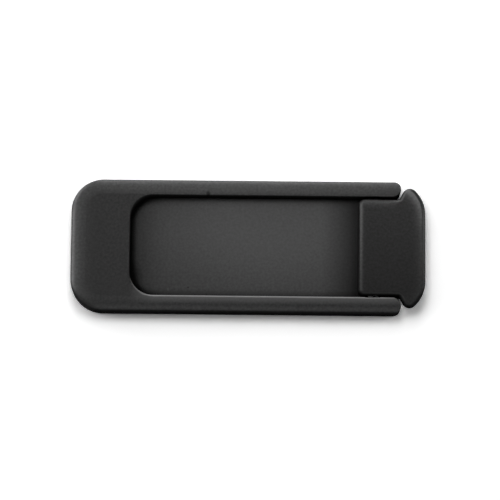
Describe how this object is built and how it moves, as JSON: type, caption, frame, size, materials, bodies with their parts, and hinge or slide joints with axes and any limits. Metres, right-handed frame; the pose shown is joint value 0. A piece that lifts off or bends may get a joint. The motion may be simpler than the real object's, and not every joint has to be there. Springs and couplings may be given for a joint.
{
  "type": "webcam cover slider",
  "caption": "Slim rounded U-shaped frame that sticks over a screen's camera, with a recessed shutter plate and an eared pull grip that slide out to uncover the lens.",
  "frame": {"origin": "under the middle of the closed cover, on the adhesive face", "axes": "+X the way the slider is drawn out, +Y across the window, +Z away from the surface it sticks to"},
  "size_m": [0.0434, 0.0164, 0.003],
  "materials": {
    "frame_plastic": "fine satin black moulding",
    "slider_plastic": "fine satin black moulding",
    "tape": "thin double-sided foam tape"
  },
  "bodies": {
    "cover_frame": {"frame": "frame_plastic", "adhesive_tape": "tape"},
    "shutter": {"slider": "slider_plastic"}
  },
  "joints": [
    {"name": "shutter_slide", "type": "slide", "parent": "cover_frame", "child": "shutter", "axis": [1, 0, 0], "range_m": [0, 0.012]}
  ]
}
